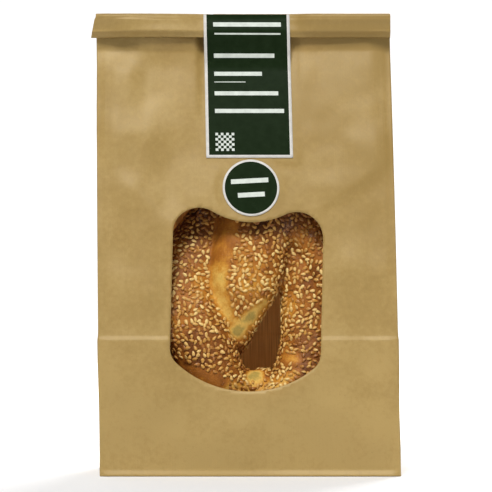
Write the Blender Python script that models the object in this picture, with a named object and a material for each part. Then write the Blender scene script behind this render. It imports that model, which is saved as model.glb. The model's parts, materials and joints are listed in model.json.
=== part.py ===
"""A twisted sesame simit standing in a windowed paper bag, as solids.

Metres, +Z up, front of the bag towards -Y. The origin is under the middle of
the bag's whole width, on the surface that the bag stands on.
"""
import math

import bmesh
import bpy
import numpy as np
from mathutils import Matrix

# ---- driving dimensions -------------------------------------------------
BAG_WIDTH = 0.180
BAG_DEPTH = 0.078
BAG_HEIGHT = 0.279
MEET_HEIGHT = 0.258          # where the front and back panels come together
TAPER_POWER = 2.4            # how late the panels close on the way up
WALL = 0.0005                # paper wall of the solid
GAP = 0.00035                # clearance between touching pieces
BASE_CENTRE_X = 0.00375      # the leaning bag's base lies right of the origin
LEAN = -0.0045               # sideways drift of the bag over its height

STRIP_THICKNESS = 0.0012     # the flat closed strip above the taper
STRIP_START = 0.2555
STRIP_OVERLAP = 0.0008       # the tapering body runs this far into the strip
HOLLOW_TOP = 0.245           # the inside ends where the panels nearly touch

FLAP_HEIGHT = 0.0147         # top edge folded forward and down
FLAP_STAND = 0.0034          # how far the fold stands off the strip's middle
FLAP_RIDGE = 0.004           # ridge height above the fold's lower lip
FLAP_FLARE = 0.0033          # the fold's lower left corner sticks out
FLAP_KICK = 0.0003           # the ridge stands out this far
LIP_THICKNESS = 0.0008       # edge of the folded paper at its lower lip
LIP_RISE = 0.001             # height of the small hollow under the lip
STRIP_INSET = 0.0002         # the strip stays inside the panels' edges

WINDOW_HALF_WIDTH = 0.045
WINDOW_BOTTOM = 0.0507
WINDOW_DIP = 0.1518          # middle of the top edge
WINDOW_PEAK = 0.1592         # the two humps of the top edge
HUMP_RADIUS = 0.0155
CORNER_RADIUS = 0.012
BOTTOM_RADIUS = 0.063
WINDOW_OFFSET = -0.0007
WINDOW_TURN = math.radians(-2.3)

FILM_THICKNESS = 0.0003
FILM_GAP = 0.0004
FILM_HALF_WIDTH = 0.0545
FILM_BOTTOM = 0.042
FILM_TOP = 0.168

LABEL_WIDTH = 0.0524
LABEL_OFFSET = 0.0027
LABEL_BOTTOM = 0.1906        # front end
LABEL_BACK_BOTTOM = 0.226    # back end
LABEL_BRIDGE = 0.248         # above this the label spans up to the fold
LABEL_BACK_TOP = 0.254       # above this it goes straight up the strip's back
PAPER_THICKNESS = 0.0003     # both stickers

STICKER_RADIUS = 0.0171
STICKER_OFFSET = 0.0032
STICKER_HEIGHT = 0.1725

# The simit is one strand wound twice round the ring, so eight places round
# the ring give the rope's middle, and sixteen along the strand its own size.
# The places start at the right and run counter-clockwise from the front.
RING_MIDDLE = [(0.047, 0.094), (0.041, 0.136), (0.012, 0.166), (-0.018, 0.126),
               (-0.023, 0.086), (-0.024, 0.049), (0.012, 0.0325), (0.0445, 0.0515)]
STRAND_OFFSET = [0.012, 0.014, 0.015, 0.018, 0.017, 0.012, 0.015, 0.014,
                 0.013, 0.013, 0.015, 0.0175, 0.010, 0.014, 0.015, 0.014]
STRAND_RADIUS = [0.0172, 0.0212, 0.018, 0.0195, 0.0205, 0.0183, 0.0225, 0.017,
                 0.016, 0.017, 0.021, 0.0228, 0.015, 0.0205, 0.024, 0.0205]
# (angle round the ring, phase of the strand) where a strand crosses in front
CROSSINGS = [(78, -90), (198, 90), (280, 270)]
TWIST_RATE = 1.5             # turns of the pair for each turn of the ring
STRAND_DEPTH = 0.006         # how far a strand passes in front of the middle
FLATTEN = 0.7                # a strand is thinner than it is wide
RING_CENTRE_X = 0.00375
SIMIT_SETBACK = 0.0223       # rope's middle behind the front panel at its foot
SIMIT_DROOP = 0.0055         # the top of the ring leans back this much more
SHOULDER_DROOP = 0.005       # and its top right side this much again
SHOULDER_ACROSS = (0.020, 0.045)
SHOULDER_RISE = (0.115, 0.145)
DROOP_START = 0.080
DROOP_END = 0.165
PRESS_LIMIT = 0.0200         # the dough's front stays this near its middle
PRESS_ROUNDING = 0.004
SOLE_HEIGHT = 0.0026         # the dough stands flat on the bag's bottom
STRAND_SECTIONS = 160
STRAND_SIDES = 5             # bevel resolution of the strand
SIMIT_VOXEL = 0.0046

PANEL_STEPS = 16
FILM_STEPS = 14
LABEL_STEPS = 8
ROLL_STEPS = 10
STICKER_SIDES = 48
SLOPE_STEP = 0.001           # the panel's tilt is read over this height


def clear_scene():
    for item in list(bpy.data.objects):
        bpy.data.objects.remove(item, do_unlink=True)


def make_material(name, colour, roughness, metallic=0.0, alpha=1.0):
    material = bpy.data.materials.new(name)
    material.use_nodes = True
    shader = material.node_tree.nodes["Principled BSDF"]
    shader.inputs["Base Color"].default_value = (*colour, 1.0)
    shader.inputs["Roughness"].default_value = roughness
    shader.inputs["Metallic"].default_value = metallic
    shader.inputs["Alpha"].default_value = alpha
    return material


def add_object(name, mesh, material=None):
    item = bpy.data.objects.new(name, mesh)
    bpy.context.collection.objects.link(item)
    if material:
        mesh.materials.append(material)
    return item


def finish_mesh(name, shape):
    bmesh.ops.recalc_face_normals(shape, faces=shape.faces[:])
    mesh = bpy.data.meshes.new(name)
    shape.to_mesh(mesh)
    shape.free()
    return mesh


# ---- the bag's own shape ------------------------------------------------
def half_depth(height):
    """Distance from the middle plane to the front or back panel."""
    closeness = min(height / MEET_HEIGHT, 1.0) ** TAPER_POWER
    return max(BAG_DEPTH / 2 * (1.0 - closeness), STRIP_THICKNESS / 2)


def lean_shift(height):
    return BASE_CENTRE_X + LEAN * height / BAG_HEIGHT


def lean_mesh(mesh):
    """Sets an upright piece over the base and leans it with the bag."""
    for vertex in mesh.vertices:
        vertex.co.x += lean_shift(vertex.co.z)


def bag_section(height, wall):
    """Six corners of the gusseted bag at one height, wall metres inside."""
    half = half_depth(height)
    panel = BAG_DEPTH / 2
    fold_in = math.sqrt(max(panel ** 2 - half ** 2, 0.0))
    slant = math.asin(min(half / panel, 1.0))
    corner = BAG_WIDTH / 2 - wall / math.tan(slant / 2)
    fold = BAG_WIDTH / 2 - fold_in - wall / math.sin(slant)
    side = half - wall
    return [(-corner, -side), (corner, -side), (fold, 0.0),
            (corner, side), (-corner, side), (-fold, 0.0)]


def loft_bag(name, heights, wall):
    """Bridges the bag's sections; walls stay even where the heights match."""
    shape = bmesh.new()
    previous = None
    for height in heights:
        corners = [shape.verts.new((x, y, height)) for x, y in bag_section(height, wall)]
        edges = [shape.edges.new((corners[i], corners[i - 1])) for i in range(6)]
        if previous:
            bmesh.ops.bridge_loops(shape, edges=previous + edges)
        else:
            shape.faces.new(corners)
        previous = edges
    shape.faces.new(corners)
    bmesh.ops.recalc_face_normals(shape, faces=shape.faces[:])
    bmesh.ops.triangulate(shape, faces=shape.faces[:], quad_method="FIXED")
    return finish_mesh(name, shape)


def extrude_side_profile(name, profile, left, right):
    """Extrudes a closed outline of (y, z) points from left to right."""
    shape = bmesh.new()
    face = shape.faces.new([shape.verts.new((left, y, z)) for y, z in profile])
    grown = bmesh.ops.extrude_face_region(shape, geom=[face])
    moved = [item for item in grown["geom"] if isinstance(item, bmesh.types.BMVert)]
    bmesh.ops.translate(shape, verts=moved, vec=(right - left, 0.0, 0.0))
    return finish_mesh(name, shape)


def sheet_profile(path, thickness):
    """Closes a path of (y, z) points into a thin sheet, thick on its left."""
    points = np.array(path)
    along = np.gradient(points, axis=0)
    along /= np.linalg.norm(along, axis=1)[:, None]
    normal = np.column_stack([-along[:, 1], along[:, 0]])
    outside = points + normal * thickness
    return [tuple(p) for p in points] + [tuple(p) for p in outside[::-1]]


def arc(centre_x, centre_z, radius, start, end, count):
    angles = [start + (end - start) * i / count for i in range(count + 1)]
    return [(centre_x + radius * math.cos(a), centre_z + radius * math.sin(a)) for a in angles]


def window_outline():
    """Right half from the dip round to the bottom, then its mirror image."""
    hump_x = WINDOW_HALF_WIDTH - HUMP_RADIUS
    hump_z = WINDOW_PEAK - HUMP_RADIUS
    rise = WINDOW_DIP - hump_z
    dip_radius = (hump_x ** 2 + rise ** 2 - HUMP_RADIUS ** 2) / (2 * (HUMP_RADIUS - rise))
    dip_z = WINDOW_DIP + dip_radius
    dip_end = math.atan2(hump_z - dip_z, hump_x)
    corner_x = WINDOW_HALF_WIDTH - CORNER_RADIUS
    bottom_z = WINDOW_BOTTOM + BOTTOM_RADIUS
    corner_z = bottom_z - math.sqrt((BOTTOM_RADIUS - CORNER_RADIUS) ** 2 - corner_x ** 2)
    corner_end = math.atan2(corner_z - bottom_z, corner_x)
    down = -math.pi / 2
    half = arc(0.0, dip_z, dip_radius, down, dip_end, 4)
    half += arc(hump_x, hump_z, HUMP_RADIUS, math.pi + dip_end, 0.0, 10)[1:]
    half += arc(corner_x, corner_z, CORNER_RADIUS, 0.0, corner_end, 5)
    half += arc(0.0, bottom_z, BOTTOM_RADIUS, corner_end, down, 6)[1:]
    mirrored = [(-x, z) for x, z in half[-2:0:-1]]
    middle = (WINDOW_DIP + WINDOW_BOTTOM) / 2
    cos, sin = math.cos(WINDOW_TURN), math.sin(WINDOW_TURN)
    turned = []
    for x, z in half + mirrored:
        rise = z - middle
        turned.append((x * cos - rise * sin + WINDOW_OFFSET, x * sin + rise * cos + middle))
    return turned


def add_boolean(item, operation, other):
    modifier = item.modifiers.new(operation.lower(), "BOOLEAN")
    modifier.operation = operation
    modifier.object = other
    modifier.solver = "EXACT"
    other.hide_render = True
    other.display_type = "WIRE"


def flap_profile():
    """The closed strip with its top edge folded forward, from the side."""
    half = STRIP_THICKNESS / 2
    lip = BAG_HEIGHT - FLAP_HEIGHT
    roll = (FLAP_STAND + half) / 2
    middle = (half - FLAP_STAND) / 2
    over = arc(middle, BAG_HEIGHT - roll, roll, 0.0, math.pi, ROLL_STEPS)
    return [(-half, STRIP_START), (half, STRIP_START)] + over + [
        (-FLAP_STAND - FLAP_KICK, lip + FLAP_RIDGE),
        (-FLAP_STAND, lip),
        (-half - LIP_THICKNESS, lip),
        (-half, lip + LIP_RISE)]


def build_bag():
    shared = [HOLLOW_TOP * step / PANEL_STEPS for step in range(1, PANEL_STEPS + 1)]
    outer = loft_bag("paper_bag", [0.0] + shared + [STRIP_START + STRIP_OVERLAP], 0.0)
    paper = make_material("kraft_paper", (0.43, 0.28, 0.115), 0.75)
    bag = add_object("paper_bag", outer, paper)
    lean_mesh(bag.data)
    edge = BAG_WIDTH / 2 - STRIP_INSET
    strip = add_object("cutter_strip", extrude_side_profile(
        "cutter_strip", flap_profile(), -edge, edge))
    for vertex in strip.data.vertices:
        if vertex.co.x < 0 and vertex.co.y < -STRIP_THICKNESS:
            vertex.co.x -= FLAP_FLARE * (BAG_HEIGHT - vertex.co.z) / FLAP_HEIGHT
    lean_mesh(strip.data)
    hollow = add_object("cutter_hollow", loft_bag("cutter_hollow", [WALL] + shared, WALL))
    lean_mesh(hollow.data)
    window = bmesh.new()
    face = window.faces.new([window.verts.new((x, -BAG_DEPTH, z)) for x, z in window_outline()])
    grown = bmesh.ops.extrude_face_region(window, geom=[face])
    moved = [item for item in grown["geom"] if isinstance(item, bmesh.types.BMVert)]
    bmesh.ops.translate(window, verts=moved, vec=(0.0, BAG_DEPTH, 0.0))
    opening = add_object("cutter_window", finish_mesh("cutter_window", window))
    lean_mesh(opening.data)
    add_boolean(bag, "UNION", strip)
    add_boolean(bag, "DIFFERENCE", hollow)
    add_boolean(bag, "DIFFERENCE", opening)


def build_film():
    heights = np.linspace(FILM_TOP, FILM_BOTTOM, FILM_STEPS)
    path = [(-half_depth(z) + WALL + FILM_GAP, z) for z in heights]
    mesh = extrude_side_profile("window_film", sheet_profile(path, FILM_THICKNESS),
                                -FILM_HALF_WIDTH, FILM_HALF_WIDTH)
    lean_mesh(mesh)
    add_object("window_film", mesh, make_material("clear_film", (0.9, 0.9, 0.9), 0.1, 0.0, 0.2))


def build_label():
    """A strip from the front panel up over the fold and down the back."""
    lip = BAG_HEIGHT - FLAP_HEIGHT
    half = STRIP_THICKNESS / 2
    roll = (FLAP_STAND + half) / 2 + GAP
    middle = (half - FLAP_STAND) / 2
    rear = np.linspace(LABEL_BACK_BOTTOM, LABEL_BACK_TOP, LABEL_STEPS)
    front = np.linspace(LABEL_BRIDGE, LABEL_BOTTOM, LABEL_STEPS)
    path = [(half_depth(z) + GAP, z) for z in rear]
    path += arc(middle, BAG_HEIGHT + GAP - roll, roll, 0.0, math.pi, ROLL_STEPS)
    path.append((-FLAP_STAND - FLAP_KICK - GAP, lip + FLAP_RIDGE))
    path += [(-half_depth(z) - GAP, z) for z in front]
    profile = sheet_profile(path[::-1], PAPER_THICKNESS)
    mesh = extrude_side_profile("label_strip", profile, -LABEL_WIDTH / 2, LABEL_WIDTH / 2)
    for vertex in mesh.vertices:
        vertex.co.x += LABEL_OFFSET
    lean_mesh(mesh)
    add_object("label_strip", mesh, make_material("label_green", (0.013, 0.022, 0.01), 0.4))


def build_sticker():
    shape = bmesh.new()
    bmesh.ops.create_cone(shape, cap_ends=True, segments=STICKER_SIDES, depth=PAPER_THICKNESS,
                          radius1=STICKER_RADIUS, radius2=STICKER_RADIUS)
    rise = (half_depth(STICKER_HEIGHT - SLOPE_STEP)
            - half_depth(STICKER_HEIGHT + SLOPE_STEP))
    tilt = math.atan2(rise, 2 * SLOPE_STEP)
    bmesh.ops.rotate(shape, verts=shape.verts, matrix=Matrix.Rotation(math.pi / 2 - tilt, 3, "X"))
    stand = GAP + PAPER_THICKNESS / 2
    bmesh.ops.translate(shape, verts=shape.verts, vec=(
        STICKER_OFFSET + lean_shift(STICKER_HEIGHT),
        -half_depth(STICKER_HEIGHT) - stand / math.cos(tilt), STICKER_HEIGHT))
    mesh = finish_mesh("round_sticker", shape)
    add_object("round_sticker", mesh, make_material("sticker_green", (0.013, 0.022, 0.01), 0.4))


# ---- the simit ----------------------------------------------------------
def smooth_loop(knots, count):
    """A closed cubic curve through evenly spaced knots, read at count places."""
    knots = np.array(knots, dtype=float)
    size = len(knots)
    unit = np.eye(size)
    system = 4 * unit + np.roll(unit, 1, 0) + np.roll(unit, -1, 0)
    around = np.roll(knots, -1, 0) - 2 * knots + np.roll(knots, 1, 0)
    bend = np.linalg.solve(system, 6 * around)
    place = np.linspace(0, size, count, endpoint=False)
    left = place.astype(int) % size
    right = (left + 1) % size
    far = place - np.floor(place)
    if knots.ndim > 1:
        far = far[:, None]
    near = 1 - far
    return (bend[left] * near ** 3 / 6 + bend[right] * far ** 3 / 6
            + (knots[left] - bend[left] / 6) * near + (knots[right] - bend[right] / 6) * far)


def strand_phase(angle):
    """Phase in degrees: 0 is outside the ring, 90 in front, 180 inside."""
    places = np.radians([place for place, _ in CROSSINGS])
    system = np.column_stack([np.ones(3), np.cos(places), np.sin(places)])
    excess = [phase - TWIST_RATE * place for place, phase in CROSSINGS]
    start, across, upward = np.linalg.solve(system, excess)
    turn = np.radians(angle)
    return TWIST_RATE * angle + start + across * np.cos(turn) + upward * np.sin(turn)


def strand_path(sections):
    """Centre points and radii of the strand along its two turns."""
    half = sections // 2
    ring = smooth_loop(RING_MIDDLE, half)
    along = np.roll(ring, -1, 0) - np.roll(ring, 1, 0)
    along /= np.linalg.norm(along, axis=1)[:, None]
    outward = np.column_stack([along[:, 1], -along[:, 0]])
    ring, outward = np.tile(ring, (2, 1)), np.tile(outward, (2, 1))
    angle = np.arange(half) * 360.0 / half
    first = np.radians(strand_phase(angle))
    phase = np.concatenate([first, first + math.pi])
    offset = smooth_loop(STRAND_OFFSET, sections)
    radius = smooth_loop(STRAND_RADIUS, sections)
    flat = ring + outward * (offset * np.cos(phase))[:, None]
    depth = -STRAND_DEPTH / FLATTEN * np.sin(phase)
    return np.column_stack([flat[:, 0], depth, flat[:, 1]]), radius


def smooth_step(value, start, end):
    """Rises smoothly from 0 at start to 1 at end."""
    share = min(max((value - start) / (end - start), 0.0), 1.0)
    return share * share * (3 - 2 * share)


def ring_setback(across, height):
    """The ring follows the front panel and leans back towards its top right."""
    droop = SIMIT_DROOP * smooth_step(height, DROOP_START, DROOP_END)
    shoulder = smooth_step(across, *SHOULDER_ACROSS) * smooth_step(height, *SHOULDER_RISE)
    return SIMIT_SETBACK + droop + SHOULDER_DROOP * shoulder - half_depth(max(height, 0.0))


def pressed(depth):
    """Flattens whatever would bulge through the window."""
    start = PRESS_LIMIT - PRESS_ROUNDING
    if -depth <= start:
        return depth
    return -start - PRESS_ROUNDING * (1 - math.exp((depth + start) / PRESS_ROUNDING))


def build_simit():
    points, radii = strand_path(STRAND_SECTIONS)
    curve = bpy.data.curves.new("simit_strand", "CURVE")
    curve.dimensions = "3D"
    curve.bevel_depth = 1.0
    curve.bevel_resolution = STRAND_SIDES
    spline = curve.splines.new("POLY")
    spline.points.add(len(points) - 1)
    spline.use_cyclic_u = True
    for place, centre, radius in zip(spline.points, points, radii):
        place.co = (*centre, 1.0)
        place.radius = radius
    guide = add_object("guide_strand", curve)
    mesh = bpy.data.meshes.new_from_object(guide)
    bpy.data.objects.remove(guide, do_unlink=True)
    mesh.transform(Matrix.Scale(FLATTEN, 4, (0.0, 1.0, 0.0)))
    for vertex in mesh.vertices:
        vertex.co.x += RING_CENTRE_X
        vertex.co.y = pressed(vertex.co.y) + ring_setback(vertex.co.x, vertex.co.z)
        vertex.co.z = max(vertex.co.z, SOLE_HEIGHT)
    simit = add_object("simit", mesh, make_material("crust", (0.32, 0.13, 0.035), 0.55))
    remesh = simit.modifiers.new("one_body", "REMESH")
    remesh.mode = "VOXEL"
    remesh.voxel_size = SIMIT_VOXEL


clear_scene()
build_bag()
build_film()
build_simit()
build_label()
build_sticker()
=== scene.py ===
"""Looks of a twisted sesame simit standing in a windowed paper bag.

Metres, +Z up, window towards -Y. The bag, its clear film and its two stickers
start as flat sheets and are bent into place; the dough is one strand wound
twice round the ring, and the sesame seeds are strewn over it.
"""

import json
import math

import bmesh
import bpy
import numpy as np
from mathutils import Matrix, Vector, noise


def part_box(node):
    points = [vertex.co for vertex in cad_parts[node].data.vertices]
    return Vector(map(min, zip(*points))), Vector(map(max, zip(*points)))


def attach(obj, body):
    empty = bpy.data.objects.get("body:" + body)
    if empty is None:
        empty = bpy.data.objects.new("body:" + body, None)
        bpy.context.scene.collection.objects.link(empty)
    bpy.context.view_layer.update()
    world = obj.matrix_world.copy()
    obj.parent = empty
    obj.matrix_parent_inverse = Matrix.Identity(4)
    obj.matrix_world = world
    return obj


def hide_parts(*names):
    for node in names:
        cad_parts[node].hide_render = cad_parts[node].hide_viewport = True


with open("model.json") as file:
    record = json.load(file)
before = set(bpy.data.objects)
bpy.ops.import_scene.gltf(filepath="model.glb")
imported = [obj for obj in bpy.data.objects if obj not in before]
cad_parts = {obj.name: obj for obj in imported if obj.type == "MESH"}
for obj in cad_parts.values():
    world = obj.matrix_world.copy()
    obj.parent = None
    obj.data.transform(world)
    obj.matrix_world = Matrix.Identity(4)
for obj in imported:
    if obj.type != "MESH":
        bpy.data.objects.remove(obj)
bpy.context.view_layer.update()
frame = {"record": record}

# ---- sizes of the bag ---------------------------------------------------
BAG_LOW, BAG_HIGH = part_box("paper_bag")
BAG_WIDTH = 0.180
BAG_DEPTH = BAG_HIGH.y - BAG_LOW.y
BAG_HEIGHT = BAG_HIGH.z
BASE_CENTRE_X = frame["record"]["mounts"][0]["pos_m"][0]
LEAN = -0.0045               # sideways drift of the bag over its height
MEET_HEIGHT = 0.258          # where the front and back panels come together
TAPER_POWER = 2.4            # how late the panels turn towards each other
STRIP_THICKNESS = 0.0012     # of the layers where the top is shut
PAPER = 0.00016              # thickness of the kraft paper
PANEL = BAG_DEPTH / 2        # one leg of a side gusset
WALL_STOPS = np.cumsum([0.0, BAG_WIDTH, PANEL, PANEL, BAG_WIDTH, PANEL, PANEL])
GIRTH = 2 * BAG_WIDTH + 4 * PANEL
EDGE_ROUNDING = 0.0009       # half the width over which a folded edge is rounded
LEG_GAP = 2.3 * PAPER        # a side fold's leg stays this far from the panel beside it
BASE_ROLL = 0.0006           # radius of the bottom's edge
TURN_IN = 0.002              # paper turned in under the bottom
BASE_CREASE = (0.078, 0.088)     # heights around the cross crease above the base
LOW_CREASE = 0.0407          # and of a fine one nearer the foot
EDGE_LINE = 0.0032           # from a folded edge to the pressed line beside it
BREAD_REACH = 0.055          # the bread is close behind the front panel this far each way,
BREAD_TOP = 0.17             # and up to here
TOP_ROLL = 0.0014            # radius of the layers' middle at the top fold
FOLD_HEIGHT = BAG_HEIGHT - TOP_ROLL - STRIP_THICKNESS / 2    # where the top fold starts
FLAP_HEIGHT = 0.0147
FLAP_LIP = BAG_HEIGHT - FLAP_HEIGHT
FLAP_FLARE = 0.0033          # how far the flap's left end spreads
FLAP_RIDGE = 0.0042          # height of the flap's ridge above its lip
FLAP_LINE = 0.0034           # and of the pressed line on it
SEAM_PLACE = GIRTH - 0.162   # lengthwise glue seam on the back
SEAM_OVERLAP = 0.012
SEAM_GAP = 0.00006           # between the two layers of the seam

# The window: a dip between two humps on top, round corners and a shallow bottom arc
WINDOW_HALF_WIDTH = 0.045
WINDOW_BOTTOM = 0.0507
WINDOW_DIP = 0.1518
WINDOW_PEAK = 0.1592
HUMP_RADIUS = 0.0155
CORNER_RADIUS = 0.012
BOTTOM_RADIUS = 0.063
WINDOW_OFFSET = -0.0007
WINDOW_TURN = math.radians(-2.3)
RIM_MARGIN = 0.004           # the sheet's grid is fitted to the outline this near to it

FILM_HALF_WIDTH = 0.0545
FILM_BOTTOM = 0.042
FILM_TOP = 0.168
FILM_BEHIND = 0.0003         # behind the paper's outer face

STICKER_PAPER = 0.00012      # thickness of the sticker paper
STICKER_FACE = 0.0003 + STICKER_PAPER    # from the paper's outer face to a sticker's
LABEL_WIDTH = 0.0524
LABEL_OFFSET = 0.0027
LABEL_BOTTOM = 0.1906
LABEL_BRIDGE = 0.248         # the strip leaves the panel here for the flap's lip
LABEL_RIDGE = 0.004          # the strip's outermost place above the lip
LABEL_RIDGE_OUT = 0.0041     # how far out it is there, and as far again above it
LABEL_TOP_OUT = 0.0034
LABEL_BACK_TOP = 0.262
LABEL_BACK_BOTTOM = 0.226
LABEL_STEPS = 40
LABEL_TILT = math.radians(0.7)
STICKER_RADIUS = 0.0171
STICKER_OFFSET = 0.0032
STICKER_HEIGHT = 0.1725
STICKER_RIM = 0.0013
STICKER_TILT = math.radians(3)

# ---- sizes of the simit -------------------------------------------------
# The ring's middle line as (x, z), and its strand's distance from it and radius on the way round twice
RING_MIDDLE = [(0.047, 0.094), (0.041, 0.136), (0.012, 0.166), (-0.018, 0.126),
               (-0.023, 0.086), (-0.024, 0.049), (0.012, 0.0325), (0.0445, 0.0515)]
STRAND_OFFSET = [0.012, 0.014, 0.015, 0.018, 0.017, 0.012, 0.015, 0.014,
                 0.013, 0.013, 0.015, 0.0175, 0.010, 0.014, 0.015, 0.014]
STRAND_RADIUS = [0.0172, 0.0212, 0.018, 0.0195, 0.0205, 0.0183, 0.0225, 0.017,
                 0.016, 0.017, 0.021, 0.0228, 0.015, 0.0205, 0.024, 0.0205]
CROSSINGS = [(78, -90), (198, 90), (280, 270)]   # degrees round the ring, and the strand's phase there
TWIST_RATE = 1.5             # turns of the twist for each turn of the ring
STRAND_DEPTH = 0.006         # how far a pass goes in front of the other
FLATTEN = 0.7                # depth of the dough against its width
RING_CENTRE_X = BASE_CENTRE_X
SIMIT_SETBACK = 0.0223       # from the front panel back to the ring's middle
SIMIT_DROOP = 0.0055         # the ring leans back by this much at its top
DROOP_START = 0.080
DROOP_END = 0.165
SHOULDER_DROOP = 0.005       # and by this much more at its right shoulder
SHOULDER_ACROSS = (0.020, 0.045)
SHOULDER_RISE = (0.115, 0.145)
PRESS_LIMIT = 0.0200         # the dough's front stays this near the ring's middle
PRESS_ROUNDING = 0.004
SOLE_HEIGHT = 0.0026         # the dough stands flat on the bag's bottom
STRAND_SECTIONS = 480
CRUST_VOXEL = 0.0011
HOLE_SAG = 0.0052            # the dough sags at the lower end of the ring's hole
HOLE_X = 0.003

SEED_LENGTH = 0.0034
SEED_WIDTH = 0.0021
SEED_THICKNESS = 0.0011
SEED_SPACING = 0.00245
SEED_SINK = 0.2              # share of a seed's thickness sunk in the crust
SEED_SIDE_SINK = 0.7         # more of it beside the folded-in sides of the bag
TOASTED_SHARE = 0.3


# ---- small helpers ------------------------------------------------------
def shade(red, green, blue):
    """Linear colour with alpha from the usual 0-255 values."""
    def linear(value):
        value /= 255
        return value / 12.92 if value <= 0.04045 else ((value + 0.055) / 1.055) ** 2.4
    return (linear(red), linear(green), linear(blue), 1.0)


def smooth_step(value, start, end):
    """Rises smoothly from 0 at start to 1 at end."""
    share = np.clip((np.asarray(value) - start) / (end - start), 0.0, 1.0)
    return share * share * (3 - 2 * share)


def noise_field(points, size, seed=0):
    """Smooth noise of about -1 to 1 whose lumps are size metres across."""
    offset = Vector((seed * 17.3, seed * 5.1, seed * 9.7))
    return np.array([noise.noise(Vector(point) / size + offset) for point in points])


def lumps(points, layers):
    """Sum of smooth noises, each given as (height, size, seed)."""
    return sum(height * noise_field(points, size, seed) for height, size, seed in layers)


def add_piece(mesh, materials, stands_for=None):
    """A piece with the mesh's name, which may stand for a solid of the frame."""
    for material in materials:
        mesh.materials.append(material)
    piece = bpy.data.objects.new(mesh.name, mesh)
    bpy.context.scene.collection.objects.link(piece)
    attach(piece, "root")
    if stands_for:
        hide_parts(stands_for)
    return piece


def read_points(mesh):
    """The vertex places as rows."""
    flat = np.empty(len(mesh.vertices) * 3)
    mesh.vertices.foreach_get("co", flat)
    return flat.reshape(-1, 3)


def write_points(mesh, points):
    mesh.vertices.foreach_set("co", np.asarray(points, dtype=float).ravel())
    mesh.update()


def write_attribute(mesh, name, values):
    """One number for each vertex, for the materials to read."""
    layer = mesh.attributes.new(name, "FLOAT", "POINT")
    layer.data.foreach_set("value", np.asarray(values, dtype=float))


def shade_smooth(mesh):
    mesh.polygons.foreach_set("use_smooth", [True] * len(mesh.polygons))


def grid_lines(*stretches):
    """Grid lines from (start, end, cells) stretches that follow on each other."""
    lines = [stretches[0][0]]
    for start, end, cells in stretches:
        lines += [start + (end - start) * i / cells for i in range(1, cells + 1)]
    return lines


def flat_sheet(columns, rows):
    """A flat grid in XY with its lines at the given places."""
    shape = bmesh.new()
    across, up = len(columns) - 1, len(rows) - 1
    bmesh.ops.create_grid(shape, x_segments=across, y_segments=up, size=0.5)
    for vertex in shape.verts:
        vertex.co.x = columns[round((vertex.co.x + 0.5) * across)]
        vertex.co.y = rows[round((vertex.co.y + 0.5) * up)]
    return shape


def sheet_mesh(name, shape):
    """The flat sheet as a mesh, with its places in decimetres as its UV map."""
    layer = shape.loops.layers.uv.new("sheet")
    for face in shape.faces:
        for loop in face.loops:
            loop[layer].uv = (loop.vert.co.x * 10, loop.vert.co.y * 10)
    mesh = bpy.data.meshes.new(name)
    shape.to_mesh(mesh)
    shape.free()
    return mesh


def bend_sheet(name, shape, place):
    """The sheet bent into the form that place gives for its flat places."""
    mesh = sheet_mesh(name, shape)
    shade_smooth(mesh)
    flat = read_points(mesh)
    write_points(mesh, place(flat[:, 0], flat[:, 1]))
    return mesh


def thicken(piece, thickness, inner_slot=0):
    """Gives a sheet its thickness inwards; its inner side takes a later material slot."""
    modifier = piece.modifiers.new("thickness", "SOLIDIFY")
    modifier.thickness = thickness
    modifier.offset = -1.0
    modifier.material_offset = inner_slot


# ---- materials ----------------------------------------------------------
def fill_inputs(item, inputs):
    """Sets a node's inputs, or links them where a socket is given."""
    for key, value in inputs.items():
        if isinstance(value, bpy.types.NodeSocket):
            item.id_data.links.new(value, item.inputs[key])
        else:
            item.inputs[key].default_value = value


def add_node(tree, kind, inputs=None, **settings):
    """A shader node with its settings, values and links given at once."""
    item = tree.nodes.new("ShaderNode" + kind)
    for key, value in settings.items():
        setattr(item, key, value)
    fill_inputs(item, inputs or {})
    return item


def start_material(name):
    material = bpy.data.materials.new(name)
    material.use_nodes = True
    tree = material.node_tree
    return material, tree, tree.nodes["Principled BSDF"]


def colour_ramp(tree, factor, stops):
    """A ramp through (place, colour) stops."""
    ramp = add_node(tree, "ValToRGB", {"Fac": factor})
    elements = ramp.color_ramp.elements
    while len(elements) < len(stops):
        elements.new(0.5)
    for element, (place, colour) in zip(elements, stops):
        element.position = place
        element.color = colour
    return ramp.outputs["Color"]


def map_range(tree, value, start, end, low=0.0, high=1.0):
    """Goes from low to high as the value goes from start to end."""
    return add_node(tree, "MapRange", {"Value": value, "From Min": start, "From Max": end,
                                       "To Min": low, "To Max": high}).outputs[0]


def calculate(tree, operation, first, second=0.0):
    return add_node(tree, "Math", {0: first, 1: second}, operation=operation).outputs[0]


def weighted_sum(tree, *terms):
    """Adds up (socket, weight) terms."""
    total, *others = [calculate(tree, "MULTIPLY", *term) for term in terms]
    for other in others:
        total = calculate(tree, "ADD", total, other)
    return total


def uneven(tree, tone, grain, amount):
    """A tone made lighter and darker by a noise."""
    centred = calculate(tree, "SUBTRACT", grain, 0.5)
    return calculate(tree, "ADD", tone, calculate(tree, "MULTIPLY", centred, amount))


def noise_node(tree, vector, scale, detail=3.0, roughness=0.55):
    return add_node(tree, "TexNoise", {"Vector": vector, "Scale": scale, "Detail": detail,
                                       "Roughness": roughness}).outputs["Fac"]


def stretched(tree, vector, scale):
    return add_node(tree, "Mapping", {"Vector": vector, "Scale": scale}).outputs[0]


def sheet_place(tree):
    return add_node(tree, "UVMap", uv_map="sheet").outputs[0]


def object_place(tree):
    return add_node(tree, "TexCoord").outputs["Object"]


def add_bump(tree, shader, height, strength, distance):
    bump = add_node(tree, "Bump", {"Height": height, "Strength": strength, "Distance": distance})
    fill_inputs(shader, {"Normal": bump.outputs[0]})


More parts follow.
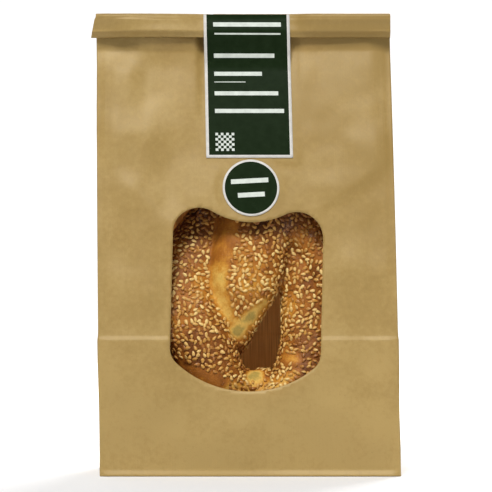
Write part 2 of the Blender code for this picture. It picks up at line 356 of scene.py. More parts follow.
def kraft_material(name, see_through, ribbing):
    """Brown kraft paper: mottled, fibrous, ribbed, and letting a share of the light through."""
    material, tree, shader = start_material(name)
    sheet = sheet_place(tree)
    cloud = noise_node(tree, sheet, 2.5, 4.0)
    mottle = noise_node(tree, sheet, 30.0, 4.0, 0.6)
    fibre = noise_node(tree, stretched(tree, sheet, (320.0, 60.0, 1.0)), 1.0, 2.0)
    rib = noise_node(tree, stretched(tree, sheet, (130.0, 3.0, 1.0)), 1.0, 1.0)
    speck = noise_node(tree, stretched(tree, sheet, (90.0, 150.0, 1.0)), 1.0, 1.0)
    # painted light and shade: paler towards the foot, deeper at the upper right
    place = add_node(tree, "SeparateXYZ", {"Vector": object_place(tree)})
    foot = map_range(tree, place.outputs["Z"], 0.13, 0.02, 0.0, 0.10)
    high = map_range(tree, place.outputs["Z"], 0.10, 0.17, 0.0, -0.11)
    right = map_range(tree, place.outputs["X"], -0.02, 0.05)
    painted_light_drift = calculate(tree, "ADD", foot, calculate(tree, "MULTIPLY", high, right))
    tone = weighted_sum(tree, (cloud, 0.5), (mottle, 0.35), (fibre, 0.15))
    base = colour_ramp(tree, calculate(tree, "ADD", tone, painted_light_drift), [
        (0.38, (0.395, 0.252, 0.068, 1)), (0.49, (0.445, 0.290, 0.085, 1)), (0.60, (0.505, 0.340, 0.111, 1))])
    flecks = colour_ramp(tree, speck, [(0.70, (0, 0, 0, 1)), (0.76, (1, 1, 1, 1))])
    flecked = add_node(tree, "Mix", {0: flecks, 6: base, 7: (0.36, 0.23, 0.08, 1)}, data_type="RGBA")
    fill_inputs(shader, {"Base Color": flecked.outputs[2],
                         "Roughness": map_range(tree, mottle, 0.0, 1.0, 0.46, 0.62),
                         "Specular IOR Level": 0.9, "Specular Tint": (1.0, 0.9, 0.7, 1.0)})
    height = weighted_sum(tree, (rib, 0.8), (fibre, 0.35), (mottle, 0.8))
    add_bump(tree, shader, height, 0.35, 0.00025)
    dim, bright = [(0.51 * share, 0.305 * share, 0.14 * share, 1.0) for share in (1 - ribbing, 1 + ribbing)]
    glow = add_node(tree, "BsdfTranslucent", {"Color": colour_ramp(tree, rib, [(0.3, dim), (0.7, bright)])})
    both = add_node(tree, "MixShader", {0: see_through, 1: shader.outputs[0], 2: glow.outputs[0]})
    fill_inputs(tree.nodes["Material Output"], {"Surface": both.outputs[0]})
    return material


def film_material():
    """Thin clear film: see-through, with gloss, hazy in places, and with a painted reflection as a whiter
    veil at its upper right.
    """
    material, tree, shader = start_material("clear film")
    place = object_place(tree)
    wave = noise_node(tree, stretched(tree, place, (1.0, 1.0, 0.5)), 45.0, 2.0)
    haze = noise_node(tree, stretched(tree, place, (1.0, 1.0, 0.6)), 60.0, 3.0)
    parts = add_node(tree, "SeparateXYZ", {"Vector": place})
    # painted reflection: the haze grows towards the film's upper right
    right = map_range(tree, parts.outputs["X"], 0.016, 0.034)
    high = map_range(tree, parts.outputs["Z"], 0.112, 0.140)
    painted_reflection = calculate(tree, "MULTIPLY", calculate(tree, "MULTIPLY", right, high), 0.10)
    least = calculate(tree, "SUBTRACT", 0.62, painted_reflection)
    fill_inputs(shader, {"Base Color": (0.8, 0.8, 0.76, 1.0), "Roughness": 0.14,
                         "Alpha": map_range(tree, haze, least, 0.85, 0.001, 0.07)})
    add_bump(tree, shader, wave, 0.3, 0.0005)
    return material


def crust_material():
    """Baked crust: from pale dough to dark brown by how much it was baked, and by the painted shade carried
    in its bake attribute.
    """
    material, tree, shader = start_material("baked crust")
    place = object_place(tree)
    bake_and_shade = add_node(tree, "Attribute", attribute_name="bake_and_shade").outputs["Fac"]
    fine = noise_node(tree, place, 900.0, 3.0, 0.6)
    patch = noise_node(tree, place, 160.0, 4.0, 0.6)
    tone = uneven(tree, uneven(tree, bake_and_shade, patch, 0.5), fine, 0.25)
    base = colour_ramp(tree, tone, [
        (0.0, shade(164, 140, 70)), (0.14, shade(212, 170, 84)), (0.3, shade(190, 132, 48)),
        (0.48, shade(158, 97, 32)), (0.7, shade(116, 66, 22)), (1.0, shade(58, 29, 10))])
    fill_inputs(shader, {"Base Color": base, "Roughness": map_range(tree, patch, 0.0, 1.0, 0.35, 0.6),
                         "Specular IOR Level": 0.15})
    add_bump(tree, shader, weighted_sum(tree, (fine, 0.5), (patch, 1.0)), 0.5, 0.0012)
    return material


def seed_material(name, burnt, dark, light):
    """Sesame hulls, each seed with its own tone, darkened where shade is painted on."""
    material, tree, shader = start_material(name)
    tone = add_node(tree, "Attribute", attribute_name="tone").outputs["Fac"]
    grain = noise_node(tree, object_place(tree), 700.0, 2.0)
    base = colour_ramp(tree, uneven(tree, tone, grain, 0.3), [(0.0, burnt), (0.4, dark), (1.0, light)])
    fill_inputs(shader, {"Base Color": base, "Roughness": 0.36, "Specular IOR Level": 0.35})
    add_bump(tree, shader, grain, 0.25, 0.0003)
    return material


def print_material(name, colour, roughness):
    """Coated sticker paper in one printed colour, slightly uneven."""
    material, tree, shader = start_material(name)
    sheet = sheet_place(tree)
    cloud = noise_node(tree, sheet, 20.0, 3.0)
    grain = noise_node(tree, sheet, 300.0, 2.0)
    paler = tuple(min(1.0, value * 1.12 + 0.002) for value in colour) + (1.0,)
    deeper = tuple(value * 0.9 for value in colour) + (1.0,)
    rough = map_range(tree, grain, 0.0, 1.0, roughness - 0.05, roughness + 0.08)
    fill_inputs(shader, {"Base Color": colour_ramp(tree, cloud, [(0.3, deeper), (0.7, paler)]),
                         "Roughness": rough, "Specular IOR Level": 0.03})
    add_bump(tree, shader, grain, 0.15, 0.0001)
    return material


# ---- the bag's form -----------------------------------------------------
def half_depth(height):
    """Half the bag's depth, shrinking to the thin shut top."""
    closeness = np.clip(np.asarray(height) / MEET_HEIGHT, 0.0, 1.0) ** TAPER_POWER
    return np.maximum(BAG_DEPTH / 2 * (1.0 - closeness), STRIP_THICKNESS / 2)


def lean_shift(height):
    return BASE_CENTRE_X + LEAN * height / BAG_HEIGHT


def wall_place(along, height):
    """Outer face of the gusseted tube, along metres round from its front left edge."""
    half = half_depth(height)
    fold = np.sqrt(np.maximum(PANEL ** 2 - half ** 2, 0.0))
    edge = np.full_like(half, BAG_WIDTH / 2)
    middle = np.zeros_like(half)
    corner_x = np.array([-edge, edge, edge - fold, edge, -edge, fold - edge, -edge])
    corner_y = np.array([-half, -half, middle, half, half, middle, -half])
    along = np.mod(along, GIRTH)
    leg = np.clip(np.searchsorted(WALL_STOPS, along, side="right") - 1, 0, 5)
    pick = np.arange(len(along))
    share = (along - WALL_STOPS[leg]) / (WALL_STOPS[leg + 1] - WALL_STOPS[leg])
    x = corner_x[leg, pick] * (1 - share) + corner_x[leg + 1, pick] * share
    y = corner_y[leg, pick] * (1 - share) + corner_y[leg + 1, pick] * share
    from_panel = PANEL * np.where((leg == 1) | (leg == 4), share, 1 - share)
    on_leg = (leg % 3) > 0
    limit = half - on_leg * LEG_GAP * np.clip(2 * from_panel / EDGE_ROUNDING, 0.0, 1.0)
    return x, np.clip(y, -limit, limit)


# How far the flap stands out at its lip and at its top fold, as (across, out) in mm
FLAP_LEAN = [(-94, 0.0), (-84, 0.8), (-68, 5.0), (-50, 7.0), (-26, 5.2), (30, 2.4), (60, 2.7), (92, 2.5)]
FLAP_PUFF = [(-94, 4.4), (-84, 8.0), (-68, 8.8), (-52, 7.4), (-38, 5.0), (-25, 0.0), (30, 0.1),
             (40, 7.4), (92, 8.8)]


def read_table(table, across):
    """A table's value at each place across, in metres."""
    places, values = np.array(table).T / 1000
    return np.interp(across, places, values)


def flap_lean(across, height):
    """Growing from the top fold to the ridge, and a little less again at the lip."""
    ridge = FLAP_LIP + FLAP_RIDGE
    grown = np.clip((BAG_HEIGHT - height) / (FLAP_HEIGHT - FLAP_RIDGE), 0.0, 1.0)
    return read_table(FLAP_LEAN, across) * (grown - 0.12 * smooth_step(height, ridge, FLAP_LIP))


def flap_ridge(x, z):
    """The kicked-out ridge above the lip, with a pressed line on it beside the label."""
    ridge = (smooth_step(z, FLAP_LIP + 2 * FLAP_RIDGE, FLAP_LIP + FLAP_RIDGE)
             - 1.2 * smooth_step(z, FLAP_LIP + FLAP_RIDGE, FLAP_LIP - 0.0004))
    beside_label = smooth_step(np.abs(x - LABEL_OFFSET), LABEL_WIDTH / 2, LABEL_WIDTH / 2 + 0.004)
    line = beside_label * (0.0002 + 0.0006 * smooth_step(np.abs(x), 0.066, 0.086))
    return 0.00035 * ridge + line * np.exp(-((z - FLAP_LIP - FLAP_LINE) / 0.0009) ** 2)


def smooth_bag_place(along, up):
    """The bag without its dents. Up runs up the wall and on over the top fold."""
    past_base = np.maximum(BASE_ROLL - up, 0.0)
    base_turn = np.minimum(past_base / BASE_ROLL, math.pi / 2)
    inset = (BASE_ROLL * (1 - np.cos(base_turn))
             + np.maximum(past_base - BASE_ROLL * math.pi / 2, 0.0))
    past_fold = up - FOLD_HEIGHT
    turn = np.clip(past_fold / TOP_ROLL, 0.0, math.pi)
    down = np.maximum(past_fold - TOP_ROLL * math.pi, 0.0)
    wall = np.clip(up, 0.0, FOLD_HEIGHT)
    x, y = 0.0, 0.0
    for nudge in (-1.0, -0.5, 0.0, 0.5, 1.0):
        near_x, near_y = wall_place(along + nudge * EDGE_ROUNDING, wall)
        x = x + near_x / 5
        y = y + near_y / 5
    x = np.clip(x, inset - BAG_WIDTH / 2, BAG_WIDTH / 2 - inset)
    y = np.clip(y, inset - BAG_DEPTH / 2, BAG_DEPTH / 2 - inset)
    z = np.where(past_base > 0, BASE_ROLL * (1 - np.sin(base_turn)), wall) - down
    z = z + (TOP_ROLL + y) * np.sin(turn)
    y = y * np.cos(turn) - TOP_ROLL * (1 - np.cos(turn))
    # the folded-over top stands out, kicks out in a ridge and tucks back under it
    flap = smooth_step(down, 0.0, 0.002)
    y = y - flap * (flap_ridge(x, z) + flap_lean(x, z))
    y = y - turn / math.pi * read_table(FLAP_PUFF, x) * np.clip((z - FLAP_LIP) / FLAP_HEIGHT, 0.0, 1.0)
    x = x - FLAP_FLARE * flap * smooth_step(-x, 0.03, 0.09) * (BAG_HEIGHT - z) / FLAP_HEIGHT
    return np.column_stack([x + lean_shift(z), y, z])


# Soft folds of the front panel: ends, half widths above and below, and height of each, in mm
SOFT_FOLDS = [
    (-98, 243, -62, 240, 11, 22, 3.4), (-68, 267, -14, 262, 11, 15, 4.4), (24, 264, 98, 265, 10, 44, 1.3),
    (-98, 207, -48, 201, 15, 30, 3.2), (-78, 178, -34, 140, 9, 20, 3.2), (44, 162, 94, 196, 16, 6.5, 1.9),
    (60, 200, 90, 198, 9, 9, 1.4), (-62, 226, -30, 203, 14, 16, 0.8), (52, 128, 90, 118, 12, 12, 1.8),
    (-88, 120, -50, 108, 12, 12, 1.6), (-84, 64, -50, 40, 13, 13, 1.3), (36, 44, 88, 22, 13, 13, 1.5),
    (-44, 20, 12, 30, 12, 12, 1.1), (-70, 150, -52, 92, 9, 9, 1.2), (58, 96, 76, 60, 10, 10, -1.0),
]


def fold_relief(x, z, fold):
    """Height of one soft fold, fading out towards its ends."""
    x0, z0, x1, z1, above, below, height = (value / 1000 for value in fold)
    run = np.array([x1 - x0, z1 - z0])
    share = ((x - x0) * run[0] + (z - z0) * run[1]) / (run @ run)
    inside = np.clip(share, 0.0, 1.0)
    rise = z - z0 - inside * run[1]
    away = np.hypot(x - x0 - inside * run[0], rise)
    width = below + (above - below) * smooth_step(rise, -0.004, 0.004)
    fade = smooth_step(share, -0.15, 0.25) * smooth_step(share, 1.15, 0.75)
    return height * fade * np.exp(-(away / width) ** 2)


def sticker_calm(x, z):
    """1 under the stickers, where the paper is kept flat, and 0 away from them."""
    strip = np.maximum(np.abs(x - LABEL_OFFSET) - LABEL_WIDTH / 2, LABEL_BOTTOM - z)
    disc = np.hypot(x - STICKER_OFFSET, z - STICKER_HEIGHT) - STICKER_RADIUS
    return smooth_step(np.minimum(strip, disc), 0.0065, 0.0006)


def back_label_calm(along, up):
    """0 under the label's short part on the back, and 1 away from it."""
    x = 1.5 * BAG_WIDTH + 2 * PANEL - along
    off_label = np.maximum(np.abs(x - LABEL_OFFSET) - LABEL_WIDTH / 2, LABEL_BACK_BOTTOM - up)
    return smooth_step(off_label, 0.0012, 0.014)


def paper_room(along, up):
    """How far each panel may move inwards, and a side panel outwards, without meeting another."""
    away = np.abs(along[:, None] - WALL_STOPS[None])
    from_fold, from_edge = away.min(1), np.delete(away, (2, 5), 1).min(1)
    on_side = np.mod(along, GIRTH / 2) > BAG_WIDTH
    room = 0.4 * half_depth(up) * np.clip(np.where(on_side, from_fold, from_edge) / PANEL, 0.0, 1.0)
    return room, on_side, from_edge


def pressed_line(place, middle):
    """A fine line that stands out along a crease."""
    return 0.00035 * np.exp(-((place - middle) / 0.0009) ** 2)


# Smooth lumps of the paper and of the dough, as (height, size, seed)
PAPER_DENTS = [(0.0026, 0.060, 1), (0.0009, 0.030, 2), (0.0003, 0.010, 3)]
DOUGH_LUMPS = [(0.0007, 0.022, 3), (0.00035, 0.009, 4), (0.00018, 0.0035, 5)]


def relief(along, up):
    """How far the paper stands out from its smooth form."""
    along = np.mod(along, GIRTH)
    out = lumps(smooth_bag_place(along, up), PAPER_DENTS)
    x = along - BAG_WIDTH / 2
    front = smooth_step(np.abs(x), BAG_WIDTH / 2, BAG_WIDTH / 2 - 0.004)
    for fold in SOFT_FOLDS:
        out = out + front * fold_relief(x, up, fold)
    # little room inwards in front of the bread, and none under the stickers
    from_bread = np.maximum(np.abs(x) / BREAD_REACH, up / BREAD_TOP)
    out = np.maximum(out, -0.0009 - 0.001 * smooth_step(from_bread, 1.0, 1.3))
    out = out * (1 - front * sticker_calm(x, up))
    out = out * back_label_calm(along, up)
    # the folded edges stay straight, with a pressed line beside them
    room, on_side, from_edge = paper_room(along, up)
    out = out * (0.25 + 0.75 * smooth_step(from_edge, 0.0, 0.014))
    out = out - pressed_line(np.abs(x), BAG_WIDTH / 2 - EDGE_LINE)
    out = np.clip(out, -room, np.where(on_side, room, 1.0))
    # cross creases left by the flat-folded bag, and the flare at its foot
    steps = 0.0010 * smooth_step(up, 0.0838, 0.0812) + 0.0006 * smooth_step(up, 0.089, 0.079)
    out = out + (0.3 + 0.7 * front) * smooth_step(up, 0.035, 0.07) * steps
    out = out + pressed_line(up, LOW_CREASE) * smooth_step(x, -0.02, 0.01) * front
    flare = (0.0011 + 0.0005 * smooth_step(x, -0.02, 0.05)) * smooth_step(from_edge, 0.0, 0.004)
    flare = np.where(on_side, 0.0, flare) * smooth_step(up, 0.0046, 0.0002)
    out = out * smooth_step(up, 0.0, 0.02) + flare
    return out * smooth_step(up, 0.272, 0.266)


def bag_place(along, up, stand=0.0):
    """The dented paper's outer face, moved out by stand."""
    step = 0.0004                # for the slopes either way
    base = smooth_bag_place(along, up)
    side = smooth_bag_place(along + step, up) - smooth_bag_place(along - step, up)
    rise = smooth_bag_place(along, up + step) - smooth_bag_place(along, up - step)
    outward = np.cross(side, rise)
    outward /= np.maximum(np.linalg.norm(outward, axis=1), 1e-12)[:, None]
    outward[:, 2] *= smooth_step(up, 0.0, 0.004)
    return base + outward * (relief(along, up) + stand)[:, None]


def front_place(x, up, stand):
    """A place over the front panel, given in the flat panel's own X."""
    return bag_place(x + BAG_WIDTH / 2, up, np.full_like(x, stand))


# ---- the window ---------------------------------------------------------
def arc(centre_x, centre_z, radius, start, end, count):
    """Points along an arc, its ends among them."""
    angles = [start + (end - start) * i / count for i in range(count + 1)]
    return [(centre_x + radius * math.cos(a), centre_z + radius * math.sin(a)) for a in angles]


def window_outline():
    """Right half from the dip round to the bottom, then its mirror image."""
    hump_x = WINDOW_HALF_WIDTH - HUMP_RADIUS
    hump_z = WINDOW_PEAK - HUMP_RADIUS
    rise = WINDOW_DIP - hump_z
    dip_radius = (hump_x ** 2 + rise ** 2 - HUMP_RADIUS ** 2) / (2 * (HUMP_RADIUS - rise))
    dip_z = WINDOW_DIP + dip_radius
    dip_end = math.atan2(hump_z - dip_z, hump_x)
    corner_x = WINDOW_HALF_WIDTH - CORNER_RADIUS
    bottom_z = WINDOW_BOTTOM + BOTTOM_RADIUS
    corner_z = bottom_z - math.sqrt((BOTTOM_RADIUS - CORNER_RADIUS) ** 2 - corner_x ** 2)
    corner_end = math.atan2(corner_z - bottom_z, corner_x)
    down = -math.pi / 2
    half = arc(0.0, dip_z, dip_radius, down, dip_end, 24)
    half += arc(hump_x, hump_z, HUMP_RADIUS, math.pi + dip_end, 0.0, 30)[1:]
    half += arc(corner_x, corner_z, CORNER_RADIUS, 0.0, corner_end, 16)
    half += arc(0.0, bottom_z, BOTTOM_RADIUS, corner_end, down, 24)[1:]
    mirrored = [(-x, z) for x, z in half[-2:0:-1]]
    middle = (WINDOW_DIP + WINDOW_BOTTOM) / 2
    points = np.array(half + mirrored) - (0.0, middle)
    cos, sin = math.cos(WINDOW_TURN), math.sin(WINDOW_TURN)
    return points @ np.array([[cos, sin], [-sin, cos]]) + (WINDOW_OFFSET, middle)


def inside_outline(point, outline):
    """Even-odd test of one place against a closed outline."""
    start, end = outline, np.roll(outline, -1, 0)
    crosses = (start[:, 1] > point[1]) != (end[:, 1] > point[1])
    share = (point[1] - start[crosses, 1]) / (end[crosses, 1] - start[crosses, 1])
    meets = start[crosses, 0] + share * (end[crosses, 0] - start[crosses, 0])
    return np.count_nonzero(meets > point[0]) % 2 == 1


def nearest_on_outline(point, outline):
    """The outline's place that is nearest to the point."""
    start, run = outline, np.roll(outline, -1, 0) - outline
    share = np.clip(((point - start) * run).sum(1) / (run * run).sum(1), 0.0, 1.0)
    places = start + run * share[:, None]
    return places[np.argmin(((places - point) ** 2).sum(1))]


def cut_window(shape):
    """Takes the window out of the flat sheet and trims its edge to the outline."""
    outline = window_outline() + (BAG_WIDTH / 2, 0.0)
    low, high = outline.min(0), outline.max(0)
    inside = []
    for face in shape.faces:
        middle = face.calc_center_median()
        if low[0] < middle.x < high[0] and low[1] < middle.y < high[1]:
            if inside_outline((middle.x, middle.y), outline):
                inside.append(face)
    bmesh.ops.delete(shape, geom=inside, context="FACES")
    rim = [v for v in shape.verts if v.is_boundary
           and low[0] - RIM_MARGIN < v.co.x < high[0] + RIM_MARGIN
           and low[1] - RIM_MARGIN < v.co.y < high[1] + RIM_MARGIN]
    for vertex in rim:
        vertex.co.x, vertex.co.y = nearest_on_outline(np.array(vertex.co[:2]), outline)
    # the two rows beside the rim are evened out
    edge = set(rim)
    band = set()
    for _ in range(2):
        grown = {e.other_vert(v) for v in edge | band for e in v.link_edges}
        band |= grown - edge
    for _ in range(4):
        bmesh.ops.smooth_vert(shape, verts=list(band), factor=0.5,
                              use_axis_x=True, use_axis_y=True)


# ---- the bag's pieces ---------------------------------------------------
def around_edges(start, end, cells, edges):
    """Even lines with a few more close to each folded edge."""
    lines = [start + (end - start) * i / cells for i in range(cells + 1)]
    close = [edge + nudge * EDGE_ROUNDING for edge in edges for nudge in (-1.6, -0.8, 0.0, 0.8, 1.6)]
    kept = [line for line in lines if all(abs(line - edge) > 2.2 * EDGE_ROUNDING for edge in edges)]
    return sorted(kept + close)


def build_bag_paper(paper, lining):
    """The bag's whole wall and flap as one sheet with a glue seam."""
    edges = WALL_STOPS - (BAG_WIDTH + 2 * PANEL)
    seam = SEAM_PLACE - GIRTH
    columns = around_edges(seam, 0.0, 58, [e for e in edges if seam < e < 0.0])
    columns += around_edges(0.0, BAG_WIDTH, 112, [0.0, BAG_WIDTH])
    columns += around_edges(BAG_WIDTH, SEAM_PLACE + SEAM_OVERLAP, 46,
                            [e for e in WALL_STOPS if BAG_WIDTH < e < SEAM_PLACE])
    columns = sorted(set(round(c, 6) for c in columns))
    roll_end = FOLD_HEIGHT + TOP_ROLL * math.pi
    start = BASE_ROLL * (1 - math.pi / 2) - TURN_IN
    foot_top, flap_foot = 0.006, 0.250
    rows = grid_lines((start, start + TURN_IN, 2), (start + TURN_IN, BASE_ROLL, 5),
                      (BASE_ROLL, foot_top, 9), (foot_top, BASE_CREASE[0], 34), (*BASE_CREASE, 16),
                      (BASE_CREASE[1], flap_foot, 84), (flap_foot, FOLD_HEIGHT, 16),
                      (FOLD_HEIGHT, roll_end, 8), (roll_end, roll_end + FOLD_HEIGHT - FLAP_LIP, 26))
    shape = flat_sheet(columns, rows)
    cut_window(shape)

    def place(along, up):
        # the seam's inner layer goes in behind the outer one
        tucked = smooth_step(along, seam + SEAM_OVERLAP + 0.005, seam + SEAM_OVERLAP)
        return bag_place(along, up, -tucked * (PAPER + SEAM_GAP))
    mesh = bend_sheet("bag_paper", shape, place)
    thicken(add_piece(mesh, (paper, lining), "paper_bag"), PAPER, 1)


def build_bag_base(paper):
    """The folded bottom: a full sheet with two pasted flaps under it."""
    inset = 0.0006
    half_x, half_y = BAG_WIDTH / 2 - inset, BAG_DEPTH / 2 - inset
    # each layer's front and back, how far its inner corners are cut, and its height
    layers = [(-half_y, half_y, 0.0, 0.0006),
              (-half_y, 0.009, 0.030, 0.0004),
              (-0.009, half_y, 0.030, 0.0002)]
    shape = bmesh.new()
    for low, high, cut, height in layers:
        made = bmesh.ops.create_grid(shape, x_segments=24, y_segments=10, size=0.5)["verts"]
        for vertex in made:
            share = vertex.co.y + 0.5
            inner = share if low == -half_y else 1 - share
            reach = half_x - cut * inner
            vertex.co = (vertex.co.x * 2 * reach, low + share * (high - low), height)
    mesh = sheet_mesh("bag_base", shape)
    mesh.transform(Matrix.Translation((BASE_CENTRE_X, 0.0, 0.0)))
    thicken(add_piece(mesh, (paper,)), PAPER)


def build_film():
    """The clear sheet glued behind the window."""
    shape = flat_sheet(grid_lines((-FILM_HALF_WIDTH, FILM_HALF_WIDTH, 60)),
                       grid_lines((FILM_BOTTOM, FILM_TOP, 70)))
    mesh = bend_sheet("window_sheet", shape, lambda x, z: front_place(x, z, -FILM_BEHIND))
    add_piece(mesh, (film_material(),), "window_film")


# ---- the stickers -------------------------------------------------------
def score(shape, axis, places):
    """Cuts the flat sheet along lines square to one axis."""
    for place in places:
        point = [0.0, 0.0, 0.0]
        normal = [0.0, 0.0, 0.0]
        point[axis] = place
        normal[axis] = 1.0
        bmesh.ops.bisect_plane(shape, geom=shape.verts[:] + shape.edges[:] + shape.faces[:],
                               dist=1e-7, plane_co=point, plane_no=normal)


def print_bars(shape, bars, edge_faces, spacing, low, high):
    """Scores a sheet into cells and gives each cell its printed colour."""
    for axis in (0, 1):
        cuts = {round(bar[2 * axis + side], 7) for bar in bars for side in (0, 1)}
        count = int((high[axis] - low[axis]) / spacing)
        cuts |= {round(low[axis] + (high[axis] - low[axis]) * i / count, 7) for i in range(1, count)}
        score(shape, axis, sorted(cuts))
    for face in shape.faces:
        middle = face.calc_center_median()
        face.material_index = edge_faces(middle)
        for left, right, bottom, top in bars:
            if left < middle.x < right and bottom < middle.y < top:
                face.material_index = 2


# Print as left, right, bottom and top of each bar in mm, from the strip's lower end or the disc's middle
STRIP_BARS = [
    (-20.4, 21.5, 28.3, 30.9), (-20.4, 18.2, 39.6, 42.2), (-20.4, -1.5, 48.0, 48.5),
    (-20.4, 8.6, 52.3, 54.9), (-20.4, 16.4, 63.8, 66.4), (-19.7, 20.4, 77.7, 78.7),
    (-20.4, 20.8, 82.6, 85.4),
]
DISC_BARS = [(-11.8, 10.7, 2.8, 5.6), (-8.2, 8.0, -5.6, -2.8)]
STRIP_BORDER = 0.0018
CHEQUER_SIZE = 0.0114
CHEQUER_CELLS = 7


def in_metres(bars):
    return [tuple(value / 1000 for value in bar) for bar in bars]


def chequer(left, low):
    """Every other cell of a square, as bars."""
    cell = CHEQUER_SIZE / CHEQUER_CELLS
    return [(left + column * cell, left + (column + 1) * cell, low + row * cell, low + (row + 1) * cell)
            for column in range(CHEQUER_CELLS) for row in range(CHEQUER_CELLS) if (column + row) % 2 == 0]


def label_path():
    """Side view of the strip: up the front, over the fold and down the back."""
    ridge = FLAP_LIP + LABEL_RIDGE
    outer = TOP_ROLL + STRIP_THICKNESS / 2
    path = [(-half_depth(z), z) for z in np.linspace(LABEL_BOTTOM, LABEL_BRIDGE, LABEL_STEPS)]
    path += [(-LABEL_RIDGE_OUT, ridge), (-LABEL_TOP_OUT, ridge + LABEL_RIDGE)]
    path += arc(-TOP_ROLL, BAG_HEIGHT - outer, outer, math.pi, 0.0, 16)
    path += [(half_depth(z), z) for z in np.linspace(LABEL_BACK_TOP, LABEL_BACK_BOTTOM, 24)]
    return np.array([(float(y), float(z)) for y, z in path])


def build_label(green, white, ink):
    """The strip from the front over the folded top to the back, a bridge at the flap's lip."""
    path = label_path()
    steps = np.linalg.norm(np.diff(path, axis=0), axis=1)
    lengths = np.concatenate([[0.0], np.cumsum(steps)])
    total = lengths[-1]
    half = LABEL_WIDTH / 2
    shape = bmesh.new()
    bmesh.ops.create_grid(shape, x_segments=1, y_segments=1, size=0.5)
    for vertex in shape.verts:
        vertex.co = (vertex.co.x * LABEL_WIDTH, (vertex.co.y + 0.5) * total, 0.0)
    border = [-half + STRIP_BORDER, half - STRIP_BORDER]
    score(shape, 0, border)
    score(shape, 1, [STRIP_BORDER, total - STRIP_BORDER])
    ridge = lengths[LABEL_STEPS]
    score(shape, 1, [ridge + away for away in (-0.0040, -0.0015, 0.0, 0.0015, 0.0040)])

    def edge(middle):
        plain = border[0] < middle.x < border[1] and STRIP_BORDER < middle.y < total - STRIP_BORDER
        return 0 if plain else 1
    bars = in_metres(STRIP_BARS) + chequer(-half + 0.0058, 0.0043)
    print_bars(shape, bars, edge, 0.004, (-half, 0.0), (half, total))

    def read_path(length):
        return np.column_stack([np.interp(length, lengths, path[:, axis]) for axis in (0, 1)])

    def place(x, length):
        y, z = read_path(length).T
        step = 0.0006            # for the strip's direction
        run = read_path(length + step) - read_path(length - step)
        run /= np.linalg.norm(run, axis=1)[:, None]
        x = x + LABEL_OFFSET - (z - LABEL_BOTTOM) * math.tan(LABEL_TILT) * 0.5
        bridge = np.clip((z - LABEL_BRIDGE) / (FLAP_LIP - LABEL_BRIDGE), 0.0, 1.0)
        out = flap_lean(x, z) * bridge * (y < -TOP_ROLL)
        return np.column_stack([x + lean_shift(z), y - run[:, 1] * STICKER_FACE - out,
                                z + run[:, 0] * STICKER_FACE])
    mesh = bend_sheet("label_paper", shape, place)
    thicken(add_piece(mesh, (green, white, ink), "label_strip"), STICKER_PAPER)


def build_sticker(green, white, ink):
    """The round sticker, with a white rim and two bars."""
    shape = bmesh.new()
    reach = STICKER_RADIUS
    bmesh.ops.create_circle(shape, cap_ends=True, segments=96, radius=reach)
    bmesh.ops.inset_region(shape, faces=shape.faces[:], thickness=STICKER_RIM,
                           use_boundary=True, use_even_offset=True)

    def edge(middle):
        return 0 if math.hypot(middle.x, middle.y) < STICKER_RADIUS - STICKER_RIM else 1
    print_bars(shape, in_metres(DISC_BARS), edge, 0.003, (-reach, -reach), (reach, reach))
    bmesh.ops.rotate(shape, verts=shape.verts, matrix=Matrix.Rotation(STICKER_TILT, 3, "Z"))
    mesh = bend_sheet("sticker_paper", shape, lambda x, z: front_place(
        x + STICKER_OFFSET, z + STICKER_HEIGHT, STICKER_FACE))
    thicken(add_piece(mesh, (green, white, ink), "round_sticker"), STICKER_PAPER)


# ---- the simit ----------------------------------------------------------
def smooth_loop(knots, count):
    """A closed cubic curve through evenly spaced knots, read at count places."""
    knots = np.array(knots, dtype=float)
    size = len(knots)
    unit = np.eye(size)
    system = 4 * unit + np.roll(unit, 1, 0) + np.roll(unit, -1, 0)
    around = np.roll(knots, -1, 0) - 2 * knots + np.roll(knots, 1, 0)
    bend = np.linalg.solve(system, 6 * around)
    place = np.linspace(0, size, count, endpoint=False)
    left = place.astype(int) % size
    right = (left + 1) % size
    far = place - np.floor(place)
    if knots.ndim > 1:
        far = far[:, None]
    near = 1 - far
    return (bend[left] * near ** 3 / 6 + bend[right] * far ** 3 / 6
            + (knots[left] - bend[left] / 6) * near + (knots[right] - bend[right] / 6) * far)


def strand_phase(angle):
    """Phase in degrees: 0 is outside the ring, 90 in front, 180 inside."""
    places = np.radians([place for place, _ in CROSSINGS])
    system = np.column_stack([np.ones(3), np.cos(places), np.sin(places)])
    excess = [phase - TWIST_RATE * place for place, phase in CROSSINGS]
    start, across, upward = np.linalg.solve(system, excess)
    turn = np.radians(angle)
    return TWIST_RATE * angle + start + across * np.cos(turn) + upward * np.sin(turn)


def strand_path(sections):
    """Centre points and radii of the strand along its two turns."""
    half = sections // 2
    ring = smooth_loop(RING_MIDDLE, half)
    along = np.roll(ring, -1, 0) - np.roll(ring, 1, 0)
    along /= np.linalg.norm(along, axis=1)[:, None]
    outward = np.column_stack([along[:, 1], -along[:, 0]])
    ring, outward = np.tile(ring, (2, 1)), np.tile(outward, (2, 1))
    angle = np.arange(half) * 360.0 / half
    first = np.radians(strand_phase(angle))
    phase = np.concatenate([first, first + math.pi])
    offset = smooth_loop(STRAND_OFFSET, sections)
    radius = smooth_loop(STRAND_RADIUS, sections)
    flat = ring + outward * (offset * np.cos(phase))[:, None]
    depth = -STRAND_DEPTH / FLATTEN * np.sin(phase)
    return np.column_stack([flat[:, 0], depth, flat[:, 1]]), radius


def ring_setback(across, height):
    """Depth of the ring's middle plane, which leans back towards its top right."""
    rise = smooth_step(height, DROOP_START, DROOP_END)
    shoulder = smooth_step(across, *SHOULDER_ACROSS) * smooth_step(height, *SHOULDER_RISE)
    return (SIMIT_SETBACK + SIMIT_DROOP * rise + SHOULDER_DROOP * shoulder
            - half_depth(np.maximum(height, 0.0)))


